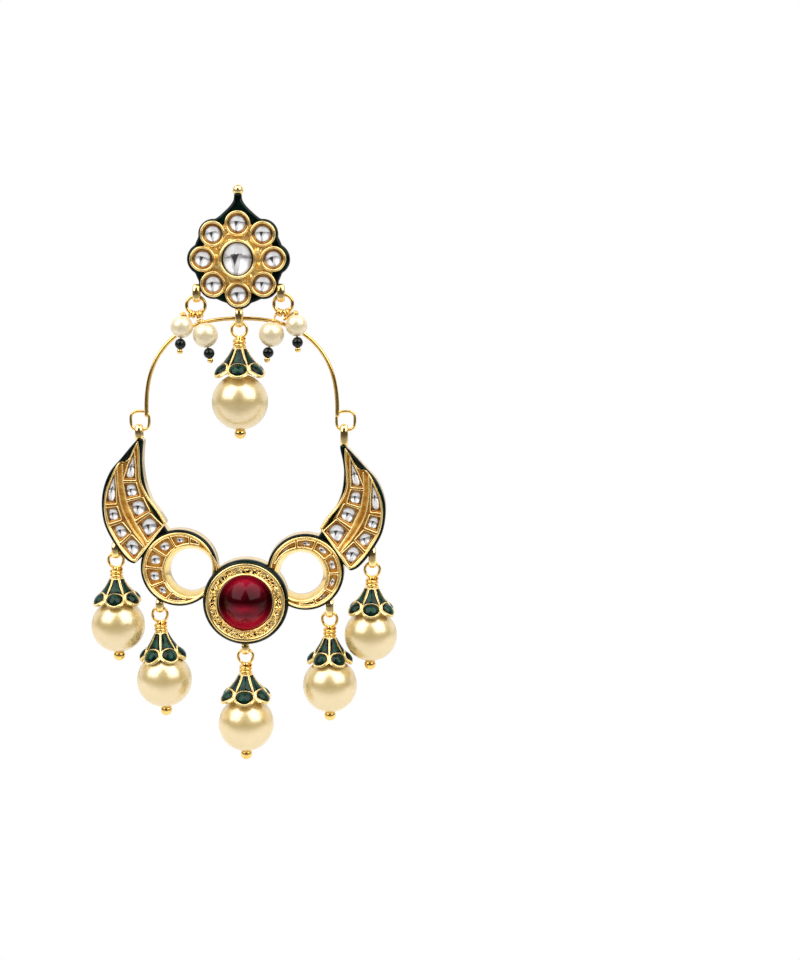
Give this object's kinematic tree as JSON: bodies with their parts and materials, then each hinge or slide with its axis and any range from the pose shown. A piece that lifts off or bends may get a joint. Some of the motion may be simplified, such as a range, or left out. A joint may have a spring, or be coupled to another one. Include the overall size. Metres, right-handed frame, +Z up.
{
  "type": "drop earring",
  "caption": "Crescent drop earring: enamelled flower stud, wire hoop, gold crescent frame with foiled glass, a red centre stone and hanging pearls in petalled caps.",
  "frame": {"origin": "root of the ear post, at the centre of the flower stud's flat back", "axes": "+Z up, from the hanging crescent to the stud; +Y back towards the ear, so the front faces -Y; +X to the right as seen from the front"},
  "size_m": [0.055, 0.0168, 0.1035],
  "materials": {
    "gold": "polished, gold plated",
    "enamel": "glossy dark green enamel between gold ribs",
    "kundan": "flat-cut clear glass on bright foil, opaque",
    "ruby": "polished deep red dome, opaque in its setting",
    "pearl": "cream pearl with a soft lustre",
    "bead": "near-black green polished bead"
  },
  "bodies": {
    "flower": {"flower_frame": "gold", "flower_centre_stone": "kundan", "petal_stone_1": "kundan", "petal_stone_2": "kundan", "petal_stone_3": "kundan", "petal_stone_4": "kundan", "petal_stone_5": "kundan", "petal_stone_6": "kundan", "petal_stone_7": "kundan", "petal_stone_8": "kundan", "ear_post": "gold", "flower_drop_pin": "gold", "flower_drop_cap": "enamel", "flower_drop_pearl": "pearl", "left_jump_ring": "gold", "right_jump_ring": "gold", "left_outer_dangle_pin": "gold", "left_outer_dangle_pearl": "pearl", "left_outer_dangle_bead": "bead", "left_inner_dangle_pin": "gold", "left_inner_dangle_pearl": "pearl", "left_inner_dangle_bead": "bead", "right_inner_dangle_pin": "gold", "right_inner_dangle_pearl": "pearl", "right_inner_dangle_bead": "bead", "right_outer_dangle_pin": "gold", "right_outer_dangle_pearl": "pearl", "right_outer_dangle_bead": "bead"},
    "hoop": {"hoop_wire": "gold"},
    "crescent": {"crescent_frame": "gold", "ruby": "ruby", "left_outer_drop_pin": "gold", "left_outer_drop_cap": "enamel", "left_outer_drop_pearl": "pearl", "left_inner_drop_pin": "gold", "left_inner_drop_cap": "enamel", "left_inner_drop_pearl": "pearl", "centre_drop_pin": "gold", "centre_drop_cap": "enamel", "centre_drop_pearl": "pearl", "right_inner_drop_pin": "gold", "right_inner_drop_cap": "enamel", "right_inner_drop_pearl": "pearl", "right_outer_drop_pin": "gold", "right_outer_drop_cap": "enamel", "right_outer_drop_pearl": "pearl"}
  },
  "joints": [
    {"name": "hoop_swing", "type": "hinge", "parent": "flower", "child": "hoop", "pos_m": [0, -0.00115, -0.01045], "axis": [1, 0, 0], "range_deg": [-12, 90]},
    {"name": "crescent_swing", "type": "hinge", "parent": "hoop", "child": "crescent", "pos_m": [0, -0.00115, -0.0303], "axis": [1, 0, 0], "range_deg": [-90, 90]}
  ]
}
